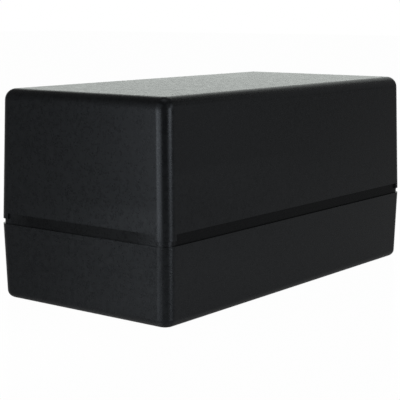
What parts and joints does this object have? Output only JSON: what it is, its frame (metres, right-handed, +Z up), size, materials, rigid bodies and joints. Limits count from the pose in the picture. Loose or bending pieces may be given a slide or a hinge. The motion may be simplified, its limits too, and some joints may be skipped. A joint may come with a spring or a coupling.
{
  "type": "plastic project box",
  "caption": "Rectangular moulded project box with a shallow base, a deep cover that lifts off, a shadow gap at the seam, and standoffs for a circuit board inside.",
  "frame": {"origin": "middle of the underside, on the surface that the box stands on", "axes": "+X along the box's length, +Y along its width, +Z up from the base to the cover"},
  "size_m": [0.12, 0.06, 0.058],
  "materials": {
    "case_plastic": "black moulded ABS with a fine spark-eroded texture",
    "screw_zinc": "zinc-plated steel"
  },
  "bodies": {
    "base": {"base": "case_plastic", "screws": "screw_zinc"},
    "cover": {"cover": "case_plastic"}
  },
  "joints": [
    {"name": "cover_lift", "type": "slide", "parent": "base", "child": "cover", "axis": [0, 0, 1], "range_m": [0, 0.05]}
  ]
}
